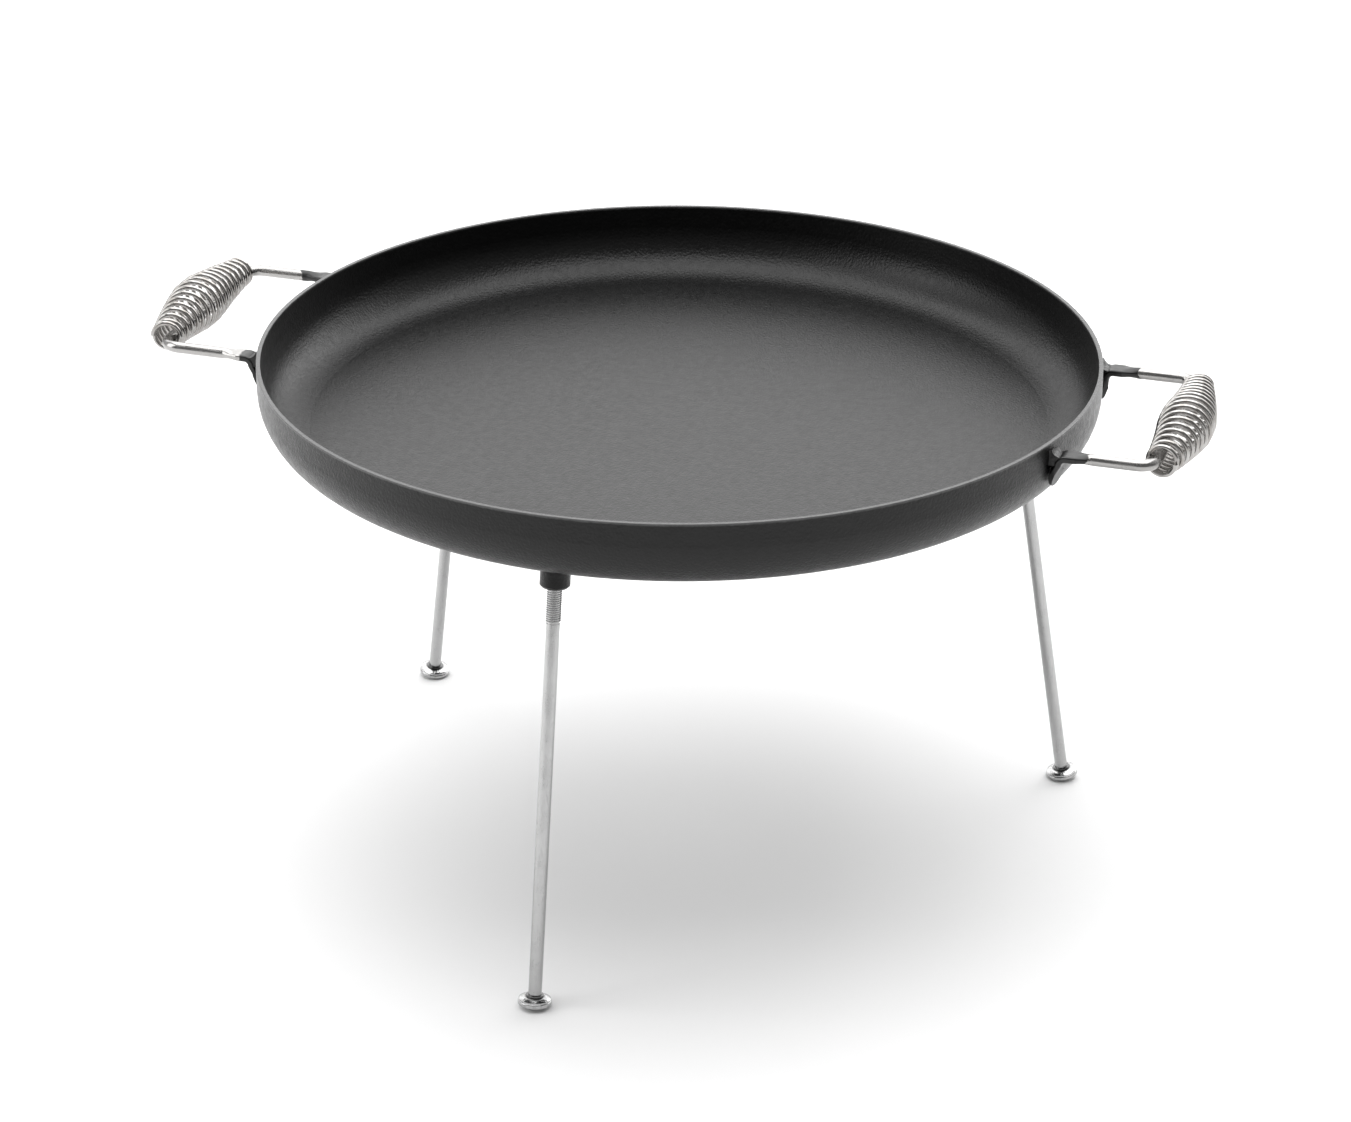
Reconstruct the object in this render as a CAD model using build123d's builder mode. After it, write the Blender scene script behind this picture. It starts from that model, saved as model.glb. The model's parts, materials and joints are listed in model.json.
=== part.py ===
from build123d import *
from math import asin, atan, cos, degrees, radians, sin, sqrt, tan
import os

# A round, shallow steel fire pan that stands on three splayed legs and is carried by two handles.
# Millimetres. +Z is up, +X points to the right-hand handle, and the origin is on the ground, on the
# pan's axis.

# Pan: one pressed dish
pan_radius = 290.0          # to the outside of the wall
pan_depth = 52.0            # rim to underside
pan_corner = 35.0           # outside radius between the wall and the floor
sheet = 3.0                 # steel thickness
rim_round = 0.5             # broken edges of the cut rim

# Leg bosses: blind threaded sockets, welded under the pan and in line with the legs
boss_inset = 50.0           # from the wall to where the leg axes meet the underside
boss_radius = 10.0
boss_length = 20.0          # mouth to underside, along the leg
boss_chamfer = 1.6
boss_bore_depth = 16.0
boss_bead = 3.0             # leg of the weld fillet round the boss
leg_tilt = 9.0              # degrees outwards
leg_pattern_turn = -2.1     # degrees that the welded pattern is off the handle line

# Legs: a plated rod with a rolled thread at its upper end
rod_radius = 4.5
thread_radius = 5.0
thread_pitch = 1.5
thread_depth = 0.92
thread_root = 1.32          # width of the ridge where it meets the core
thread_crest = 0.18         # width of the ridge at its crest
thread_sunk = 0.1           # how far the ridge's foot lies inside the core
thread_shown = 24.5         # thread below the boss
thread_engaged = 14.0       # thread inside the boss
thread_play = 0.05          # radial clearance in the boss
thread_relief = 0.3         # plain neck between the thread and the rod
leg_length = 289.5          # boss mouth to the underside of the foot

# Feet: a dished cap with a collar over a rounded pad
foot_radius = 11.3
foot_pad_height = 3.6
foot_pad_round = 1.6        # round its lower edge
foot_pad_top_round = 0.8
foot_cap_radius = 10.7
foot_cap_edge = 0.9
foot_cap_rise = 1.5         # dish of the cap, edge to collar
foot_collar_height = 1.2
foot_collar_wall = 1.3
foot_play = 0.05            # round the end of the rod

# Handles: a bent U of plated rod with flattened ends
handle_radius = 4.0
handle_span = 155.8         # between the arms' centre lines
handle_right_standoff = 55.5    # wall to the centre line of the right handle's outer bar
handle_left_standoff = 61.5     # the left handle is welded on a little further out
handle_drop = 10.0          # rim to the arms' centre line
handle_bend = 11.0          # corner radius on the centre line
tab_width = 13.5
tab_thickness = 4.5
tab_round = 1.4             # rounding of the flattened section
tab_bend = 5.0              # radius of the down-bend, on the centre line
tab_flat = 6.0              # straight flattened length before the bend
tab_swage = 11.0            # length over which round turns into flat
tab_twist = 6.0             # height over which the tongue turns to face the wall
tongue_length = 10.5        # from the end of the twist to the tip
tongue_tip = 1.0            # thickness left at the tip
weld_rise = 5.5             # height of the weld on the wall, above the arms' centre line
weld_hollow = 6.0           # radius of the weld's hollow face
weld_inset = 0.54           # from each edge of the tab to the end of the weld

# Grips: a barrel-shaped coil spring, loose round the outer bar of each handle
wire_radius = 1.6
grip_length = 140.0         # along the bar, before it bows
grip_end_radius = 9.6       # wire centre line at the ends
grip_waist_radius = 17.3    # wire centre line in the middle
grip_closed_turns = 1       # at each end, lying against their neighbour
grip_cone_turns = 7         # in each tapering half
grip_waist_turns = 1        # in each half of the straight middle
grip_end_gap = 0.1          # between the closed turns
grip_bow = 4.5              # how far the middle stands outside the line between the ends

# Worked-out sizes
tilt = radians(leg_tilt)
boss_circle = pan_radius - boss_inset
right_reach = pan_radius + handle_right_standoff
left_reach = pan_radius + handle_left_standoff
mouth_height = (
    (leg_length - foot_pad_round) * cos(tilt) + (foot_radius - foot_pad_round) * sin(tilt) + foot_pad_round
)
mouth_circle = boss_circle + boss_length * sin(tilt)
underside = mouth_height + boss_length * cos(tilt)
rim_height = underside + pan_depth
arm_height = rim_height - handle_drop
half_span = handle_span / 2
pad_top = leg_length - foot_pad_height

# The tongue's back face lies on the wall, so it is turned by the angle at which the arm meets the wall.
tongue_circle = pan_radius + tab_thickness / 2
tongue_angle = degrees(asin(half_span / tongue_circle))
tongue_x = sqrt(tongue_circle**2 - half_span**2)
# The tab clears the wall with its inner edge before it turns to lie on it.
drop_x = sqrt(pan_radius**2 - (half_span - tab_width / 2) ** 2) + tab_thickness / 2
bend_x = drop_x + tab_bend
swage_x = bend_x + tab_flat
round_x = swage_x + tab_swage
bend_height = arm_height - tab_bend
twist_height = bend_height - tab_twist

LEGS = {"right": 30.0, "left": 150.0, "front": 270.0}

# Each handle is made on the right and turned into place: its turn, and where its outer bar is.
HANDLES = {"right": (0.0, right_reach), "left": (180.0, left_reach)}
WELD_PLACES = {"right": ("front", "rear"), "left": ("rear", "front")}

# How far the loose coil's ends sit outwards of the bar, and above it
GRIP_SEATS = {"right": (2.6, -0.6), "left": (2.3, 2.2)}


def leg_plane(azimuth, distance):
    """Plane across a leg, this far below the boss mouth, with its normal pointing down the leg."""
    turn = radians(azimuth + leg_pattern_turn)
    down = Vector(sin(tilt) * cos(turn), sin(tilt) * sin(turn), -cos(tilt))
    mouth = Vector(mouth_circle * cos(turn), mouth_circle * sin(turn), mouth_height)
    sideways = Vector(-sin(turn), cos(turn), 0)
    return Plane(origin=mouth + down * distance, x_dir=sideways, z_dir=down)


def leg_section_plane(azimuth):
    """Plane through a leg's axis: x runs outwards from the axis and y runs down the leg."""
    across = leg_plane(azimuth, 0)
    return Plane(origin=across.origin, x_dir=across.x_dir, z_dir=across.x_dir.cross(across.z_dir))


def leg_axis(azimuth):
    across = leg_plane(azimuth, 0)
    return Axis(across.origin, across.z_dir)


def make_pan():
    inner_corner = pan_corner - sheet
    corner_x = pan_radius - pan_corner
    corner_z = underside + pan_corner
    slant = sqrt(0.5)
    with BuildPart() as pan:
        with BuildSketch(Plane.XZ):
            with BuildLine():
                Line((0, underside), (corner_x, underside))
                ThreePointArc(
                    (corner_x, underside),
                    (corner_x + pan_corner * slant, corner_z - pan_corner * slant),
                    (pan_radius, corner_z),
                )
                Line((pan_radius, corner_z), (pan_radius, rim_height))
                Line((pan_radius, rim_height), (pan_radius - sheet, rim_height))
                Line((pan_radius - sheet, rim_height), (pan_radius - sheet, corner_z))
                ThreePointArc(
                    (pan_radius - sheet, corner_z),
                    (corner_x + inner_corner * slant, corner_z - inner_corner * slant),
                    (corner_x, underside + sheet),
                )
                Line((corner_x, underside + sheet), (0, underside + sheet))
                Line((0, underside + sheet), (0, underside))
            make_face()
        revolve(axis=Axis.Z)
        fillet(pan.edges().group_by(Axis.Z)[-1], rim_round)
    return pan.part


def cut_above_underside():
    """Everything at and above the pan's underside, to trim what is welded to it."""
    Box(
        2 * pan_radius,
        2 * pan_radius,
        pan_depth,
        align=(Align.CENTER, Align.CENTER, Align.MIN),
        mode=Mode.SUBTRACT,
    )


def make_boss(azimuth):
    overrun = boss_radius
    with BuildPart() as boss:
        with BuildSketch(leg_plane(azimuth, 0)):
            Circle(boss_radius)
        extrude(amount=-(boss_length + overrun))
        mouth = boss.faces().sort_by(leg_axis(azimuth))[-1]
        chamfer(mouth.edges(), boss_chamfer)
        with BuildSketch(leg_plane(azimuth, 0)):
            Circle(thread_radius + thread_play)
        extrude(amount=-boss_bore_depth, mode=Mode.SUBTRACT)
        with Locations((0, 0, underside)):
            cut_above_underside()
    return boss.part


def make_boss_weld(azimuth):
    """A fillet bead round the boss, cut off flat where it meets the pan."""
    reach = boss_bead + boss_radius * sin(tilt)
    with BuildPart() as bead:
        with BuildSketch(leg_section_plane(azimuth)):
            with BuildLine():
                Polyline(
                    (boss_radius, -boss_length + reach),
                    (boss_radius, -boss_length - reach),
                    (boss_radius + 2 * reach, -boss_length - reach),
                    close=True,
                )
            make_face()
        revolve(axis=leg_axis(azimuth))
        with Locations((0, 0, underside)):
            cut_above_underside()
    return bead.part


def make_leg_rod(azimuth):
    """A round rod, with a helical ridge on a thinner core where it is threaded."""
    core_radius = thread_radius - thread_depth
    half_root = thread_root / 2
    half_crest = thread_crest / 2
    start = leg_plane(azimuth, half_root - thread_engaged)
    ridge_length = thread_engaged + thread_shown - 2 * half_root - thread_relief
    with BuildPart() as rod:
        with BuildSketch(leg_plane(azimuth, -thread_engaged)):
            Circle(core_radius)
        extrude(amount=thread_engaged + pad_top)
        with BuildSketch(leg_plane(azimuth, thread_shown)):
            Circle(rod_radius)
        extrude(amount=pad_top - thread_shown)
        with BuildLine(start) as helix:
            Helix(thread_pitch, ridge_length, core_radius, direction=start.z_dir)
        outwards = helix.line @ 0 - start.origin
        with BuildSketch(Plane(helix.line @ 0, x_dir=outwards, z_dir=helix.line % 0)):
            with BuildLine():
                Polyline(
                    (-thread_sunk, -half_root),
                    (thread_depth, -half_crest),
                    (thread_depth, half_crest),
                    (-thread_sunk, half_root),
                    close=True,
                )
            make_face()
        sweep(is_frenet=True)
    return rod.part


def make_foot_cap(azimuth):
    """A dished disc with a short collar round the rod; it lies on the pad."""
    collar_radius = rod_radius + foot_play + foot_collar_wall
    dish_top = pad_top - foot_cap_edge - foot_cap_rise
    with BuildPart() as cap:
        with BuildSketch(leg_section_plane(azimuth)):
            with BuildLine():
                Line((rod_radius + foot_play, pad_top), (foot_cap_radius, pad_top))
                Line((foot_cap_radius, pad_top), (foot_cap_radius, pad_top - foot_cap_edge))
                RadiusArc(
                    (foot_cap_radius, pad_top - foot_cap_edge),
                    (collar_radius, dish_top),
                    foot_cap_radius,
                )
                Line((collar_radius, dish_top), (collar_radius, dish_top - foot_collar_height))
                Line(
                    (collar_radius, dish_top - foot_collar_height),
                    (rod_radius + foot_play, dish_top - foot_collar_height),
                )
                Line((rod_radius + foot_play, dish_top - foot_collar_height), (rod_radius + foot_play, pad_top))
            make_face()
        revolve(axis=leg_axis(azimuth))
    return cap.part


def make_foot_pad(azimuth):
    with BuildPart() as pad:
        with BuildSketch(leg_plane(azimuth, pad_top)):
            Circle(foot_radius)
        extrude(amount=foot_pad_height)
        faces = pad.faces().sort_by(leg_axis(azimuth))
        fillet(faces[-1].edges(), foot_pad_round)
        fillet(faces[0].edges(), foot_pad_top_round)
    return pad.part


def cut_inside_wall():
    """Everything within the pan's wall, to trim what is welded to it."""
    Cylinder(
        pan_radius,
        2 * pan_depth,
        align=(Align.CENTER, Align.CENTER, Align.MIN),
        mode=Mode.SUBTRACT,
    )


def tab_section():
    RectangleRounded(tab_thickness, tab_width, tab_round)


def make_handle_rod(reach):
    """A right-hand handle: the round U first, then each flattened, turned-down and tapered end."""
    with BuildPart() as handle:
        with BuildLine(Plane.XY.offset(arm_height)) as bar:
            FilletPolyline(
                (round_x, -half_span),
                (reach, -half_span),
                (reach, half_span),
                (round_x, half_span),
                radius=handle_bend,
            )
        with BuildSketch(Plane(bar.line @ 0, z_dir=bar.line % 0)):
            Circle(handle_radius)
        sweep()
        for side in (-1, 1):
            arm_y = side * half_span
            facing_pan = Plane(origin=(round_x, arm_y, arm_height), x_dir=(0, 0, 1), z_dir=(-1, 0, 0))
            with BuildSketch(facing_pan):
                Circle(handle_radius)
            with BuildSketch(facing_pan.offset(tab_swage)):
                tab_section()
            loft()
            with BuildSketch(facing_pan.offset(tab_swage)):
                tab_section()
            extrude(amount=tab_flat)
            with BuildSketch(facing_pan.offset(tab_swage + tab_flat)):
                tab_section()
            revolve(axis=Axis((bend_x, arm_y, bend_height), (0, -1, 0)), revolution_arc=90)
            facing_down = Plane(origin=(drop_x, arm_y, bend_height), x_dir=(1, 0, 0), z_dir=(0, 0, -1))
            below = Plane(origin=(tongue_x, arm_y, twist_height), x_dir=(1, 0, 0), z_dir=(0, 0, -1))
            turned = below.rotated((0, 0, side * tongue_angle))
            with BuildSketch(facing_down):
                tab_section()
            with BuildSketch(turned):
                tab_section()
            loft()
            straight = tongue_length - tab_width / 2
            with BuildSketch(Plane(turned.origin, x_dir=turned.y_dir, z_dir=turned.x_dir)):
                with Locations((0, straight / 2)):
                    Rectangle(tab_width, straight)
                with Locations((0, straight)):
                    Circle(tab_width / 2)
            extrude(amount=tab_thickness / 2, both=True)
            side_on = Plane(turned.origin, x_dir=turned.x_dir, z_dir=turned.x_dir.cross(turned.z_dir))
            with BuildSketch(side_on):
                with BuildLine():
                    Polyline(
                        (tab_thickness / 2, 0),
                        (tongue_tip - tab_thickness / 2, tongue_length),
                        (tab_thickness, tongue_length),
                        (tab_thickness, 0),
                        close=True,
                    )
                make_face()
            extrude(amount=tab_width, both=True, mode=Mode.SUBTRACT)
    return handle.part


def make_handle_weld(side, handle):
    """A fillet of weld in the groove between the wall and the top of one turned-down end."""
    wall_x = sqrt(pan_radius**2 - half_span**2)
    inside_x = wall_x - tab_width / 2
    wall_top = arm_height + weld_rise
    bar_top = arm_height + tab_thickness / 2
    section = Plane.XZ.offset(-side * half_span)
    with BuildPart() as weld:
        with BuildSketch(section):
            with BuildLine():
                Line((inside_x, bend_height), (inside_x, wall_top))
                Line((inside_x, wall_top), (wall_x, wall_top))
                RadiusArc((wall_x, wall_top), (bend_x, bar_top), -weld_hollow)
                Line((bend_x, bar_top), (bend_x, bend_height))
                Line((bend_x, bend_height), (inside_x, bend_height))
            make_face()
        extrude(amount=tab_width / 2 - weld_inset, both=True)
        with Locations((0, 0, underside)):
            cut_inside_wall()
        add(handle, mode=Mode.SUBTRACT)
    return weld.part.solids().sort_by(SortBy.VOLUME)[-1]


def make_grip(reach, outwards, height):
    """A right-hand grip: half a coil, and the same half turned over.

    The half is made turn by turn, from its end to the middle: a closed turn, a cone of open turns, and
    half of the straight waist. Each new turn leaves those before it leaning a little, and so the coil bows.
    """
    closed_pitch = 2 * wire_radius + grip_end_gap
    half_length = grip_length / 2 - wire_radius
    open_length = half_length - grip_closed_turns * closed_pitch
    open_pitch = open_length / (grip_cone_turns + grip_waist_turns)
    flare = atan((grip_waist_radius - grip_end_radius) / (grip_cone_turns * open_pitch))
    turns = [(closed_pitch, grip_end_radius, 0)] * grip_closed_turns
    for step in range(grip_cone_turns):
        turns.append((open_pitch, grip_end_radius + step * open_pitch * tan(flare), flare))
    turns += [(open_pitch, grip_waist_radius, 0)] * grip_waist_turns
    lever = sum(sum(pitch for pitch, _, _ in turns[:joint]) for joint in range(1, len(turns)))
    lean = degrees(grip_bow / (lever + half_length / 2))

    centre = Vector(reach + outwards + grip_bow, 0, height)
    along = -half_length
    half = None
    for pitch, radius, cone in turns:
        with BuildPart() as turn:
            with BuildLine() as wire:
                Helix(
                    pitch * cos(cone),
                    pitch,
                    radius,
                    center=centre + (0, along, 0),
                    direction=(0, 1, 0),
                    cone_angle=degrees(cone),
                )
            with BuildSketch(Plane(wire.line @ 0, z_dir=wire.line % 0)):
                Circle(wire_radius)
            sweep(is_frenet=True)
            if half:
                add(half.rotate(Axis(wire.line @ 0, wire.line % 0), lean))
        half = turn.part
        along += pitch
    half = half.rotate(Axis(wire.line @ 1, wire.line % 1), lean / 2)
    turned_over = half.rotate(Axis(centre, wire.line @ 1 - centre), 180)
    with BuildPart() as grip:
        add(half)
        add(turned_over)
    return grip.part.rotate(Axis(centre, (0, 1, 0)), 90)


def write(part, name):
    part.label = name
    export_step(part, f"parts/{name}.step")


os.makedirs("parts", exist_ok=True)
write(make_pan(), "pan")
for leg, azimuth in LEGS.items():
    write(make_boss(azimuth), f"{leg}_leg_boss")
    write(make_boss_weld(azimuth), f"{leg}_boss_weld")
    write(make_leg_rod(azimuth), f"{leg}_leg_rod")
    write(make_foot_cap(azimuth), f"{leg}_foot_cap")
    write(make_foot_pad(azimuth), f"{leg}_foot_pad")
for name, (turn, reach) in HANDLES.items():
    handle_rod = make_handle_rod(reach)
    write(handle_rod.rotate(Axis.Z, turn), f"{name}_handle_rod")
    for place, side in zip(WELD_PLACES[name], (-1, 1)):
        weld = make_handle_weld(side, handle_rod)
        write(weld.rotate(Axis.Z, turn), f"{name}_handle_{place}_weld")
    outwards, upwards = GRIP_SEATS[name]
    grip = make_grip(reach, outwards, arm_height + upwards)
    write(grip.rotate(Axis.Z, turn), f"{name}_grip_coil")
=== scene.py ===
import json
import math

import bpy
from mathutils import Matrix, Vector


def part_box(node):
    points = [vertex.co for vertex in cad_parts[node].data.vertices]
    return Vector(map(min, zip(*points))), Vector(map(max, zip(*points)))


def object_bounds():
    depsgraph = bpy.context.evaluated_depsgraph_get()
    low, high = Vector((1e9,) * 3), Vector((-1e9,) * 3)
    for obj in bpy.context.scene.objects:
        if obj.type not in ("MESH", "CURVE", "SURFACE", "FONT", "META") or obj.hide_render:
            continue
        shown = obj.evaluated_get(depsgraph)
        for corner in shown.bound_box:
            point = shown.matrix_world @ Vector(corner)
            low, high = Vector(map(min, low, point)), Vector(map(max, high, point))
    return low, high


# The looks of a round, shallow steel fire pan on three screwed-in rod legs, with coil-spring grips.
# Metres, in the frame's own axes: +Z up, +X towards the right-hand handle, -Y towards the front leg.

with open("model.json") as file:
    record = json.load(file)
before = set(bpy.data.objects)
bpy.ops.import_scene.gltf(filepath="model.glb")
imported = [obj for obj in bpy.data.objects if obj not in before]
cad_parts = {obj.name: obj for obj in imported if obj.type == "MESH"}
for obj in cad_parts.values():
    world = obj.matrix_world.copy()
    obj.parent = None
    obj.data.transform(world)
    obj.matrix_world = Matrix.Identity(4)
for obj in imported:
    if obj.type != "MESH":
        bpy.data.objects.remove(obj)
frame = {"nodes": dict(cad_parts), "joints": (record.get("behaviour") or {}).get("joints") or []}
cad_low, cad_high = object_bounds()

# Camera: an orbit round a point near the pan's axis, below its rim
CAMERA_AZIMUTH = 17.06      # degrees
CAMERA_ELEVATION = 25.03
CAMERA_ROLL = 0.22
CAMERA_DISTANCE = 2.817
CAMERA_LENS = 106.6         # millimetres, on a 36 mm sensor
AIM_SIDEWAYS = -0.0024
AIM_BELOW_RIM = 0.1607

# Studio
FLOOR_HALF = 14.0
FLOOR_ALBEDO = 0.86
WORLD_BEHIND = 0.70         # brightness of the room behind the pan, and overhead
WORLD_BEFORE = 0.22         # and on the camera's side

# Each light: degrees round from the camera, degrees up, distance, width, height, brightness
LIGHTS = (
    ("back_light", 180, 28, 3.6, 7.0, 3.4, 1.45),
    ("back_right_light", 135, 22, 3.4, 2.6, 1.8, 1.8),
    ("top_light", 180, 84, 2.6, 3.4, 3.4, 2.9),
    ("left_light", -78, 22, 3.0, 1.6, 2.6, 2.8),
)

# Coat
GRAIN = 0.0017              # size of the coat's leathery grain
RIM_BAND = 0.0012           # depth of the paler band at the cut rim
COAT_RAGGED = 0.0035

# Plating
STREAK_STRETCH = 45         # how much longer than wide the drawn streaks are
BAR_BAND = 0.016            # from a handle's outermost face in to where its streaks turn to follow the bar
CREASE_DENSITY = 60.0       # how quickly a foot's creases change outwards, against round it
COLLAR_SHADE_RADII = (0.0062, 0.0072)    # radii between which the painted shade in the groove round a foot's collar fades out

# How far from the middle the black coat runs out along each handle: its front arm, then its rear one
COAT_ON_LEFT_ROD = (0.292, 0.310)
COAT_ON_RIGHT_ROD = (0.303, 0.306)

LEGS = ("right", "left", "front")
SIDES = ("right", "left")


class Graph:
    """A material's node tree, with the few moves that the materials below repeat."""

    def __init__(self, name):
        self.material = bpy.data.materials.new(name)
        self.material.use_nodes = True
        self.tree = self.material.node_tree
        self.shader = self.tree.nodes["Principled BSDF"]
        self.place = self.add("ShaderNodeTexCoord").outputs["Object"]

    def add(self, kind, inputs=None, **settings):
        node = self.tree.nodes.new(kind)
        for name, value in settings.items():
            setattr(node, name, value)
        for name, value in (inputs or {}).items():
            self.feed(node.inputs[name], value)
        return node

    def feed(self, socket, value):
        if isinstance(value, bpy.types.NodeSocket):
            self.tree.links.new(value, socket)
        else:
            socket.default_value = value

    def noise(self, size, detail=2.0, rough=0.5, vector=None):
        inputs = {"Vector": vector or self.place, "Scale": 1 / size, "Detail": detail, "Roughness": rough}
        return self.add("ShaderNodeTexNoise", inputs).outputs["Fac"]

    def cells(self, size):
        inputs = {"Vector": self.place, "Scale": 1 / size}
        return self.add("ShaderNodeTexVoronoi", inputs, feature="SMOOTH_F1").outputs["Distance"]

    def math(self, operation, first, second=0.0):
        return self.add("ShaderNodeMath", {0: first, 1: second}, operation=operation).outputs[0]

    def spread(self, value, from_low, from_high, to_low, to_high):
        """The value carried from one range to another, and held at its ends."""
        inputs = {"Value": value, "From Min": from_low, "From Max": from_high}
        inputs.update({"To Min": to_low, "To Max": to_high})
        return self.add("ShaderNodeMapRange", inputs).outputs["Result"]

    def mix(self, factor, first, second):
        node = self.add("ShaderNodeMix", data_type="RGBA")
        self.feed(node.inputs[0], factor)
        self.feed(node.inputs[6], first)
        self.feed(node.inputs[7], second)
        return node.outputs[2]

    def mix_value(self, factor, first, second):
        node = self.add("ShaderNodeMix", data_type="FLOAT")
        self.feed(node.inputs[0], factor)
        self.feed(node.inputs[2], first)
        self.feed(node.inputs[3], second)
        return node.outputs[0]

    def bump(self, height, depth, strength=1.0, under=None):
        inputs = {"Height": height, "Distance": depth, "Strength": strength}
        node = self.add("ShaderNodeBump", inputs)
        if under:
            self.feed(node.inputs["Normal"], under)
        return node.outputs["Normal"]

    def split(self, vector=None):
        node = self.add("ShaderNodeSeparateXYZ", {"Vector": vector or self.place})
        return node.outputs["X"], node.outputs["Y"], node.outputs["Z"]

    def scaled(self, scale):
        return self.add("ShaderNodeMapping", {"Vector": self.place, "Scale": scale}).outputs["Vector"]

    def along(self, origin, axis, stretch=1.0):
        """Coordinates whose z runs along a line, stretched that much along it."""
        turn = Vector(axis).to_track_quat("Z", "Y").inverted()
        moved = self.add("ShaderNodeVectorMath", {0: self.place, 1: tuple(origin)}, operation="SUBTRACT")
        return self.add(
            "ShaderNodeMapping",
            {"Vector": moved.outputs[0], "Rotation": tuple(turn.to_euler()), "Scale": (1, 1, 1 / stretch)},
        ).outputs["Vector"]

    def finish(self, **sockets):
        for name, value in sockets.items():
            self.feed(self.shader.inputs[name.replace("_", " ")], value)
        return self.material


def grey(level, warmth=0.0):
    return (level * (1 + warmth), level, level * (1 - warmth), 1.0)


def coat_look(graph):
    """Colour, roughness and normal of the black textured coat."""
    patches = graph.noise(0.09, detail=3.0)
    pits = graph.cells(GRAIN)
    grain = graph.noise(GRAIN, detail=4.0, rough=0.6)
    height = graph.math("ADD", graph.math("MULTIPLY", pits, 0.7), grain)
    colour = graph.mix(patches, grey(0.0022), grey(0.0036))
    roughness = graph.spread(graph.noise(GRAIN * 3, detail=3.0), 0.3, 0.7, 0.29, 0.40)
    return colour, roughness, graph.bump(height, 0.00030, 0.85)


def pan_material():
    graph = Graph("pan_coating")
    colour, roughness, normal = coat_look(graph)
    z = graph.split()[2]
    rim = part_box("pan")[1].z
    wear = graph.math("MULTIPLY", graph.noise(0.004, detail=4.0), RIM_BAND)
    edge = graph.spread(graph.math("ADD", z, wear), rim - RIM_BAND, rim, 0.0, 1.0)
    colour = graph.mix(edge, colour, grey(0.085))
    roughness = graph.mix_value(edge, roughness, 0.34)
    graph.shader.inputs["Specular IOR Level"].default_value = 0.33
    return graph.finish(Base_Color=colour, Roughness=roughness, Normal=normal)


def weld_material():
    graph = Graph("weld_coating")
    colour, roughness, normal = coat_look(graph)
    lumps = graph.bump(graph.noise(0.0032, detail=2.0), 0.0009, 0.8, under=normal)
    graph.shader.inputs["Specular IOR Level"].default_value = 0.35
    return graph.finish(Base_Color=colour, Roughness=roughness, Normal=lumps)


def plated(graph, streaks, tone, warmth, rough_low, rough_high):
    """Colour, roughness and normal of a plated rod; streaks run along the given coordinates' z."""
    long_streaks = graph.noise(0.0011, detail=3.0, vector=streaks)
    fine_streaks = graph.noise(0.0004, detail=2.0, vector=streaks)
    clouds = graph.noise(0.012, detail=4.0, rough=0.6)
    dull = graph.mix(clouds, grey(tone, warmth), grey(tone * 0.86, warmth))
    colour = graph.mix(graph.spread(long_streaks, 0.55, 0.8, 0.0, 0.5), dull, grey(tone * 0.6, warmth * 2))
    roughness = graph.spread(graph.math("ADD", fine_streaks, clouds), 0.8, 1.25, rough_low, rough_high)
    return colour, roughness, graph.bump(fine_streaks, 0.00002, 0.5)


def leg_material(leg):
    screw = next(joint for joint in frame["joints"] if joint["name"] == f"{leg}_leg_screw")
    graph = Graph(f"zinc_plate_{leg}")
    streaks = graph.along(screw["pos_m"], screw["axis"], stretch=STREAK_STRETCH)
    colour, roughness, normal = plated(graph, streaks, 0.46, 0.0, 0.14, 0.30)
    return graph.finish(Base_Color=colour, Roughness=roughness, Normal=normal, Metallic=1.0)


def foot_material(leg):
    """A pressed, plated foot: creases fan out from the rod with painted shade along them, and painted shade
    darkens the groove round the collar.
    """
    screw = next(joint for joint in frame["joints"] if joint["name"] == f"{leg}_leg_screw")
    graph = Graph(f"foot_plate_{leg}")
    local = graph.along(screw["pos_m"], screw["axis"])
    x, y, _ = graph.split(local)
    angle = graph.math("ARCTAN2", y, x)
    squares = graph.math("ADD", graph.math("MULTIPLY", x, x), graph.math("MULTIPLY", y, y))
    radius = graph.math("SQRT", squares)
    outwards = graph.math("MULTIPLY", radius, CREASE_DENSITY)
    fan = graph.add("ShaderNodeCombineXYZ", {"X": angle, "Y": outwards}).outputs[0]
    creases_and_shade = graph.noise(0.11, detail=2.0, vector=fan)
    # Painted shade: the foot's colour darkens along the creases, where shade falls; the same pattern also
    # drives the real bump and roughness.
    colour = graph.mix(graph.spread(creases_and_shade, 0.5, 0.72, 0.0, 0.7), grey(0.48), grey(0.24))
    # Painted shade: a dark ring in the groove round the collar.
    colour = graph.mix(graph.spread(radius, *COLLAR_SHADE_RADII, 1.0, 0.0), colour, grey(0.16))
    roughness = graph.spread(creases_and_shade, 0.35, 0.7, 0.12, 0.26)
    normal = graph.bump(creases_and_shade, 0.00025, 0.8)
    return graph.finish(Base_Color=colour, Roughness=roughness, Normal=normal, Metallic=1.0)


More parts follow.
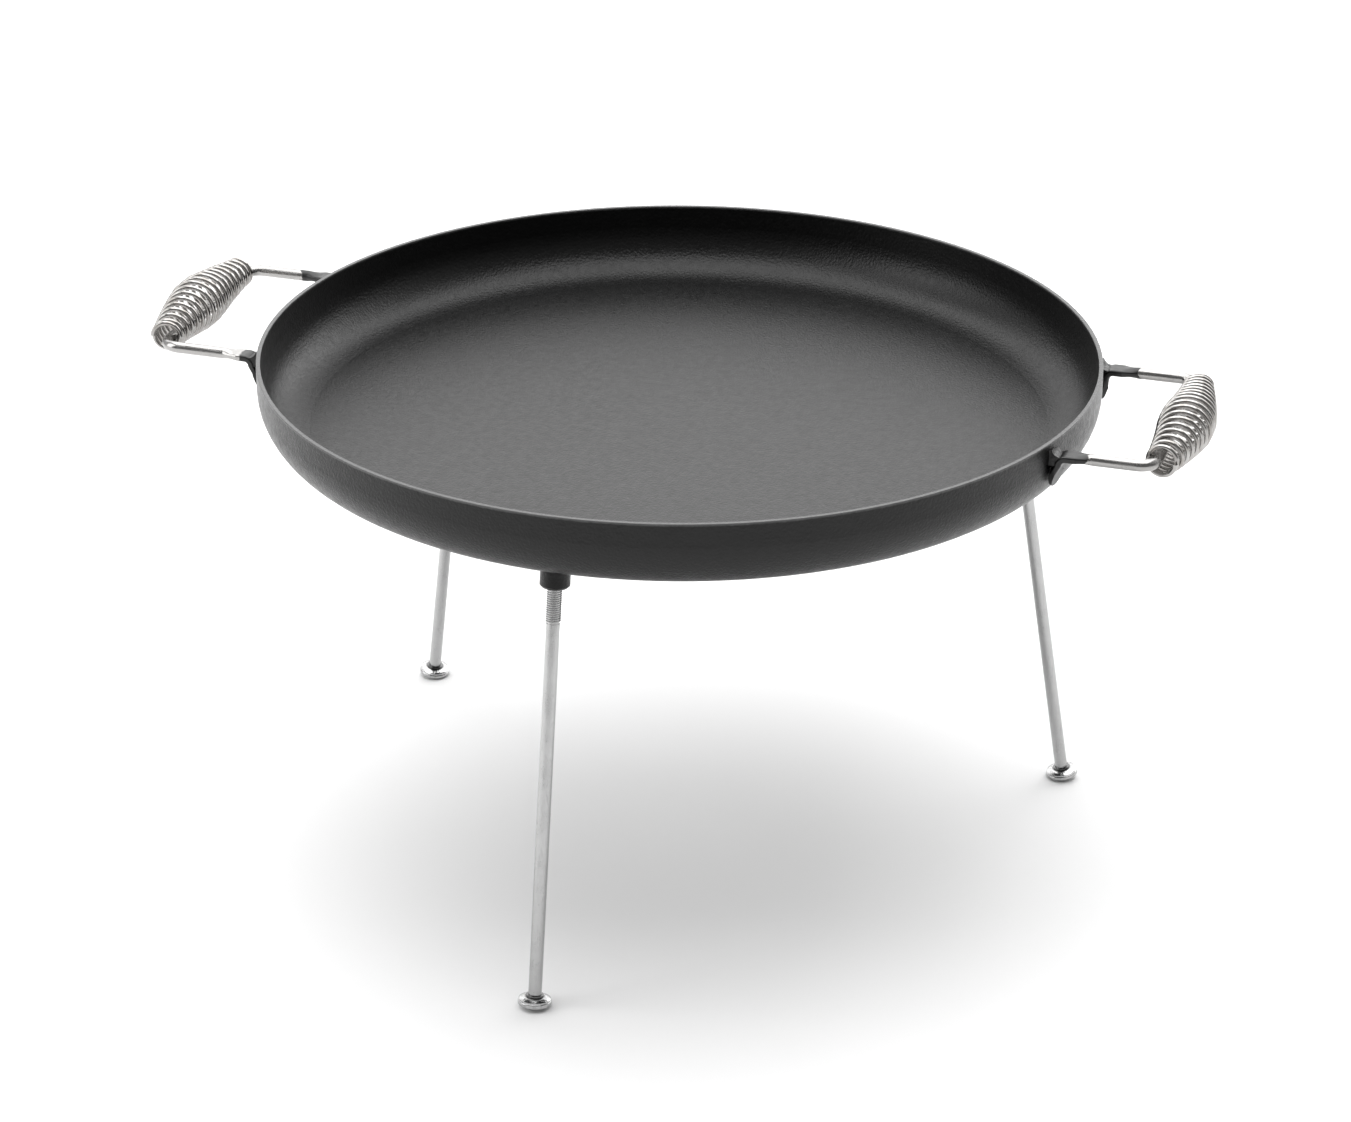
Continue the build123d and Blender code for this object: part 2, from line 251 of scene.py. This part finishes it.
def handle_material():
    """Plated rod that runs under the pan's black coat at its welded ends."""
    graph = Graph("handle_plate")
    x, y, _ = graph.split()
    bar_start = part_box("right_handle_rod")[1].x - BAR_BAND
    along_arm = graph.scaled((1 / STREAK_STRETCH, 1, 1))
    along_bar = graph.scaled((1, 1 / STREAK_STRETCH, 1))
    on_bar = graph.math("GREATER_THAN", graph.math("ABSOLUTE", x), bar_start)
    streaks = graph.add("ShaderNodeMix", data_type="VECTOR")
    graph.feed(streaks.inputs[0], on_bar)
    graph.feed(streaks.inputs[4], along_arm)
    graph.feed(streaks.inputs[5], along_bar)
    colour, roughness, normal = plated(graph, streaks.outputs[1], 0.40, 0.02, 0.14, 0.34)
    black, coat_rough, _ = coat_look(graph)
    centred = graph.math("SUBTRACT", graph.noise(0.0045, detail=4.0), 0.5)
    ragged = graph.math("MULTIPLY", centred, 4 * COAT_RAGGED)
    rear = graph.math("GREATER_THAN", y, 0.0)
    on_right = graph.math("GREATER_THAN", x, 0.0)
    limit = graph.mix_value(
        on_right, graph.mix_value(rear, *COAT_ON_LEFT_ROD), graph.mix_value(rear, *COAT_ON_RIGHT_ROD)
    )
    past = graph.math("SUBTRACT", graph.math("ADD", graph.math("ABSOLUTE", x), ragged), limit)
    bare = graph.spread(past, -0.0006, 0.0006, 0.0, 1.0)
    colour = graph.mix(bare, black, colour)
    roughness = graph.mix_value(bare, coat_rough, roughness)
    return graph.finish(Base_Color=colour, Roughness=roughness, Normal=normal, Metallic=bare)


def spring_material():
    graph = Graph("spring_plate")
    clouds = graph.noise(0.006, detail=4.0, rough=0.6)
    drawn = graph.noise(0.0007, detail=3.0)
    colour = graph.mix(graph.spread(clouds, 0.35, 0.7, 0.0, 1.0), grey(0.44, 0.02), grey(0.30, 0.06))
    roughness = graph.spread(graph.math("ADD", drawn, clouds), 0.7, 1.3, 0.09, 0.22)
    normal = graph.bump(drawn, 0.00002, 0.4)
    return graph.finish(Base_Color=colour, Roughness=roughness, Normal=normal, Metallic=1.0)


def dress(name, material):
    """Gives a CAD node this material in every slot."""
    node = frame["nodes"][name]
    if not node.material_slots:
        node.data.materials.append(material)
    for slot in node.material_slots:
        slot.material = material


def dress_everything():
    coat = pan_material()
    weld = weld_material()
    handle = handle_material()
    spring = spring_material()
    dress("pan", coat)
    for leg in LEGS:
        foot = foot_material(leg)
        dress(f"{leg}_leg_boss", coat)
        dress(f"{leg}_boss_weld", weld)
        dress(f"{leg}_leg_rod", leg_material(leg))
        dress(f"{leg}_foot_cap", foot)
        dress(f"{leg}_foot_pad", foot)
    for side in SIDES:
        dress(f"{side}_handle_rod", handle)
        dress(f"{side}_handle_front_weld", weld)
        dress(f"{side}_handle_rear_weld", weld)
        dress(f"{side}_grip_coil", spring)


def direction(azimuth, elevation):
    """From the object towards a viewer or a light at these angles."""
    a, e = math.radians(azimuth), math.radians(elevation)
    return Vector((math.sin(a) * math.cos(e), -math.cos(a) * math.cos(e), math.sin(e)))


def place_camera():
    pan_low, pan_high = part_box("pan")
    middle = (pan_low + pan_high) / 2
    aim = Vector((middle.x + AIM_SIDEWAYS, middle.y, pan_high.z - AIM_BELOW_RIM))
    back = direction(CAMERA_AZIMUTH, CAMERA_ELEVATION)
    data = bpy.data.cameras.new("camera")
    data.lens = CAMERA_LENS
    data.sensor_width = 36
    data.clip_end = 60
    camera = bpy.data.objects.new("camera", data)
    camera.location = aim + back * CAMERA_DISTANCE
    camera.rotation_mode = "QUATERNION"
    roll = Matrix.Rotation(math.radians(CAMERA_ROLL), 3, "Z").to_quaternion()
    camera.rotation_quaternion = (-back).to_track_quat("-Z", "Y") @ roll
    bpy.context.scene.collection.objects.link(camera)
    bpy.context.scene.camera = camera


def soft_box(name, azimuth, elevation, distance, width, height, strength):
    """A rectangular soft light that faces the pan; strength is its brightness, whatever its size."""
    aim = Vector((0, 0, cad_high.z))
    data = bpy.data.lights.new(name, "AREA")
    data.shape = "RECTANGLE"
    data.size = width
    data.size_y = height
    data.energy = strength * math.pi * width * height
    light = bpy.data.objects.new(name, data)
    towards = direction(azimuth, elevation)
    light.location = aim + towards * distance
    light.rotation_mode = "QUATERNION"
    light.rotation_quaternion = (-towards).to_track_quat("-Z", "Y")
    light.visible_camera = False
    bpy.context.scene.collection.objects.link(light)


def make_world():
    """A plain white room, dimmer on the camera's side so that bright metal has something dark to reflect."""
    world = bpy.data.worlds.new("studio")
    bpy.context.scene.world = world
    world.use_nodes = True
    tree = world.node_tree
    background = tree.nodes["Background"]
    background.inputs["Color"].default_value = (1, 1, 1, 1)
    place = tree.nodes.new("ShaderNodeTexCoord")
    towards_camera = tree.nodes.new("ShaderNodeVectorMath")
    towards_camera.operation = "DOT_PRODUCT"
    towards_camera.inputs[1].default_value = direction(CAMERA_AZIMUTH, 0)
    dim = tree.nodes.new("ShaderNodeMapRange")
    dim.inputs["From Min"].default_value = -0.25
    dim.inputs["From Max"].default_value = 0.45
    dim.inputs["To Min"].default_value = WORLD_BEHIND
    dim.inputs["To Max"].default_value = WORLD_BEFORE
    tree.links.new(place.outputs["Generated"], towards_camera.inputs[0])
    tree.links.new(towards_camera.outputs["Value"], dim.inputs["Value"])
    tree.links.new(dim.outputs["Result"], background.inputs["Strength"])


def make_studio():
    mesh = bpy.data.meshes.new("floor")
    corners = [(-1, -1), (1, -1), (1, 1), (-1, 1)]
    mesh.from_pydata([(x * FLOOR_HALF, y * FLOOR_HALF, cad_low.z) for x, y in corners], [], [(0, 1, 2, 3)])
    floor = bpy.data.objects.new("floor", mesh)
    bpy.context.scene.collection.objects.link(floor)
    graph = Graph("pale_floor")
    mesh.materials.append(graph.finish(Base_Color=grey(FLOOR_ALBEDO), Roughness=0.9))

    make_world()
    for name, turn, elevation, distance, width, height, strength in LIGHTS:
        soft_box(name, CAMERA_AZIMUTH + turn, elevation, distance, width, height, strength)
    bpy.context.scene.view_settings.view_transform = "Standard"


dress_everything()
place_camera()
make_studio()
